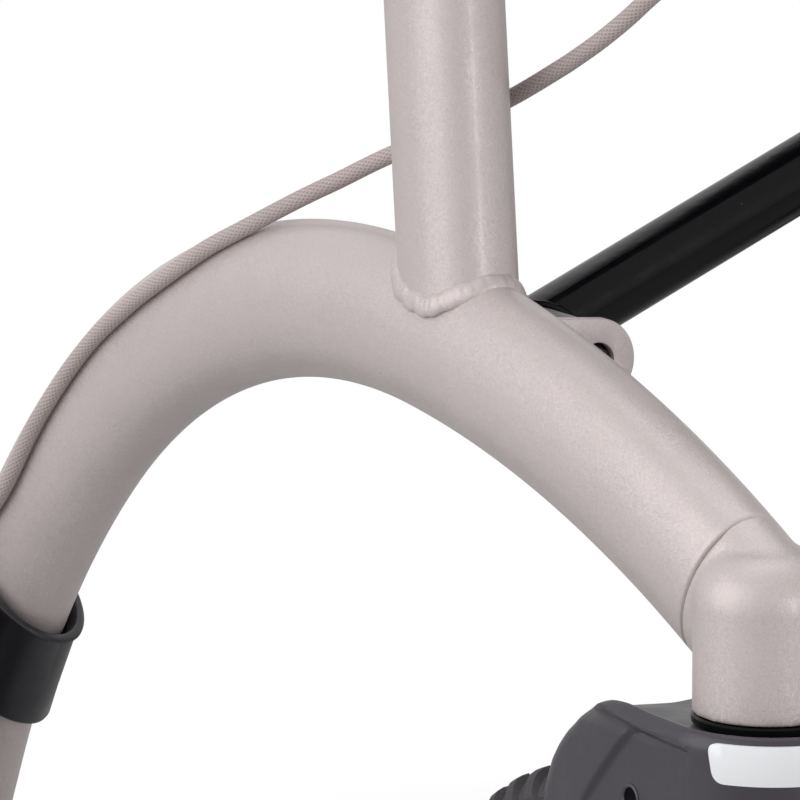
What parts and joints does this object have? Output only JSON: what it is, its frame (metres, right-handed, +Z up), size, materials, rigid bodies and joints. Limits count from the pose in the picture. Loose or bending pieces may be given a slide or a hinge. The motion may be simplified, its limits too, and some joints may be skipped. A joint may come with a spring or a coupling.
{
  "type": "rollator",
  "caption": "Folding rollator with arched oval-tube side frames, crossed braces, padded seat, swivel front casters, telescoping handles and cable brakes",
  "frame": {"origin": "on the floor, under the middle of the wheelbase and of the track", "axes": "+X forwards, +Y to the user's left, +Z up"},
  "size_m": [0.6304, 0.6356, 0.8693],
  "materials": {
    "frame_paint": "fine metallic champagne taupe paint, satin",
    "black_paint": "black satin powder coat",
    "grey_plastic": "matte charcoal moulded plastic with fine grain",
    "black_plastic": "black satin moulded plastic",
    "tyre": "solid dark grey tyre with block tread",
    "grip_rubber": "soft black rubber",
    "reflector": "pale glossy reflector strip",
    "bright_steel": "zinc-plated steel",
    "dark_steel": "blackened steel",
    "handle_tube": "dark anodised tube",
    "cable_braid": "taupe braided cable sleeve",
    "seat_fabric": "black woven polyester over padding",
    "webbing": "woven webbing"
  },
  "bodies": {
    "right_frame": {"right_arch_tube": "frame_paint", "right_upright_tube": "frame_paint", "right_brace_bracket": "frame_paint", "right_hinge_bolt": "dark_steel", "right_caster_head": "frame_paint", "right_head_bearing": "bright_steel", "right_foot_shoe": "black_plastic", "right_cable_collar": "black_plastic", "right_upright_collar": "black_plastic", "right_rail_cradle": "black_plastic", "right_rear_axle": "bright_steel", "right_brake_cable": "cable_braid"},
    "right_caster": {"right_caster_stem": "dark_steel", "right_caster_housing": "grey_plastic", "right_reflector": "reflector", "right_front_axle": "bright_steel"},
    "right_front_wheel": {"right_front_tyre": "tyre", "right_front_rim": "grey_plastic"},
    "right_rear_wheel": {"right_rear_tyre": "tyre", "right_rear_rim": "grey_plastic"},
    "right_brake": {"right_brake_arm": "dark_steel"},
    "right_handle": {"right_handle_tube": "handle_tube", "right_grip": "grip_rubber", "right_lever_housing": "black_plastic"},
    "right_lever": {"right_brake_lever": "black_plastic"},
    "right_button": {"right_height_button": "grey_plastic"},
    "left_frame": {"left_arch_tube": "frame_paint", "left_upright_tube": "frame_paint", "left_brace_bracket": "frame_paint", "left_hinge_bolt": "dark_steel", "left_caster_head": "frame_paint", "left_head_bearing": "bright_steel", "left_foot_shoe": "black_plastic", "left_cable_collar": "black_plastic", "left_upright_collar": "black_plastic", "left_rail_cradle": "black_plastic", "left_rear_axle": "bright_steel", "left_brake_cable": "cable_braid"},
    "left_caster": {"left_caster_stem": "dark_steel", "left_caster_housing": "grey_plastic", "left_reflector": "reflector", "left_front_axle": "bright_steel"},
    "left_front_wheel": {"left_front_tyre": "tyre", "left_front_rim": "grey_plastic"},
    "left_rear_wheel": {"left_rear_tyre": "tyre", "left_rear_rim": "grey_plastic"},
    "left_brake": {"left_brake_arm": "dark_steel"},
    "left_handle": {"left_handle_tube": "handle_tube", "left_grip": "grip_rubber", "left_lever_housing": "black_plastic"},
    "left_lever": {"left_brake_lever": "black_plastic"},
    "left_button": {"left_height_button": "grey_plastic"},
    "right_cross": {"right_brace": "black_paint", "centre_bolt": "dark_steel"},
    "left_cross": {"left_brace": "black_paint"},
    "right_rail": {"right_seat_rail": "black_paint", "seat": "seat_fabric", "pull_strap": "webbing"},
    "left_rail": {"left_seat_rail": "black_paint"}
  },
  "joints": [
    {"name": "fold", "type": "hinge", "parent": "right_frame", "child": "right_cross", "pos_m": [0.10927, -0.2215, 0.2986], "axis": [1, 0, 0], "range_deg": [0, 46], "deforming": ["seat", "pull_strap"]},
    {"name": "cross", "type": "hinge", "parent": "right_cross", "child": "left_cross", "pos_m": [0.13327, 0, 0.39491], "axis": [1, 0, 0], "range_deg": [-92, 0]},
    {"name": "left_frame_hinge", "type": "hinge", "parent": "left_cross", "child": "left_frame", "pos_m": [0.13327, 0.2215, 0.2986], "axis": [1, 0, 0], "range_deg": [0, 46]},
    {"name": "left_rail_hinge", "type": "hinge", "parent": "right_cross", "child": "left_rail", "pos_m": [0.10927, 0.2215, 0.49122], "axis": [1, 0, 0], "range_deg": [-46, 0]},
    {"name": "right_rail_hinge", "type": "hinge", "parent": "left_cross", "child": "right_rail", "pos_m": [0.13327, -0.2215, 0.49122], "axis": [1, 0, 0], "range_deg": [0, 46]},
    {"name": "right_caster_swivel", "type": "hinge", "parent": "right_frame", "child": "right_caster", "pos_m": [0.28025, -0.25, 0.2293], "axis": [0, 0, 1], "continuous": true},
    {"name": "right_front_spin", "type": "hinge", "parent": "right_caster", "child": "right_front_wheel", "pos_m": [0.21525, -0.25, 0.1], "axis": [0, 1, 0], "continuous": true},
    {"name": "right_rear_spin", "type": "hinge", "parent": "right_frame", "child": "right_rear_wheel", "pos_m": [-0.21525, -0.2955, 0.1], "axis": [0, 1, 0], "continuous": true},
    {"name": "right_lever_pull", "type": "hinge", "parent": "right_handle", "child": "right_lever", "pos_m": [0.00257, -0.25, 0.80988], "axis": [0, 1, 0], "range_deg": [0, 15], "stiffness_Nm_per_rad": 1},
    {"name": "right_brake_turn", "type": "hinge", "parent": "right_frame", "child": "right_brake", "pos_m": [-0.17031, -0.26905, 0.15976], "axis": [0, 1, 0], "range_deg": [0, 4.5]},
    {"name": "right_handle_slide", "type": "slide", "parent": "right_frame", "child": "right_handle", "axis": [-0.1011, 0, 0.9949], "range_m": [0, 0.15], "deforming": ["right_brake_cable"]},
    {"name": "right_button_press", "type": "slide", "parent": "right_frame", "child": "right_button", "axis": [0, 1, 0], "range_m": [0, 0.0034], "stiffness_N_per_m": 400},
    {"name": "left_caster_swivel", "type": "hinge", "parent": "left_frame", "child": "left_caster", "pos_m": [0.28025, 0.25, 0.2293], "axis": [0, 0, 1], "continuous": true},
    {"name": "left_front_spin", "type": "hinge", "parent": "left_caster", "child": "left_front_wheel", "pos_m": [0.21525, 0.25, 0.1], "axis": [0, 1, 0], "continuous": true},
    {"name": "left_rear_spin", "type": "hinge", "parent": "left_frame", "child": "left_rear_wheel", "pos_m": [-0.21525, 0.2955, 0.1], "axis": [0, 1, 0], "continuous": true},
    {"name": "left_lever_pull", "type": "hinge", "parent": "left_handle", "child": "left_lever", "pos_m": [0.00257, 0.25, 0.80988], "axis": [0, 1, 0], "range_deg": [0, 15], "stiffness_Nm_per_rad": 1},
    {"name": "left_brake_turn", "type": "hinge", "parent": "left_frame", "child": "left_brake", "pos_m": [-0.17031, 0.26905, 0.15976], "axis": [0, 1, 0], "range_deg": [0, 4.5]},
    {"name": "left_handle_slide", "type": "slide", "parent": "left_frame", "child": "left_handle", "axis": [-0.1011, 0, 0.9949], "range_m": [0, 0.15], "deforming": ["left_brake_cable"]},
    {"name": "left_button_press", "type": "slide", "parent": "left_frame", "child": "left_button", "axis": [0, -1, 0], "range_m": [0, 0.0034], "stiffness_N_per_m": 400}
  ],
  "couplings": [
    {"joint": "cross", "follows": "fold", "ratio": -2},
    {"joint": "left_frame_hinge", "follows": "fold", "ratio": 1},
    {"joint": "left_rail_hinge", "follows": "fold", "ratio": -1},
    {"joint": "right_rail_hinge", "follows": "fold", "ratio": 1},
    {"joint": "right_brake_turn", "follows": "right_lever_pull", "ratio": 0.29},
    {"joint": "left_brake_turn", "follows": "left_lever_pull", "ratio": 0.29}
  ]
}
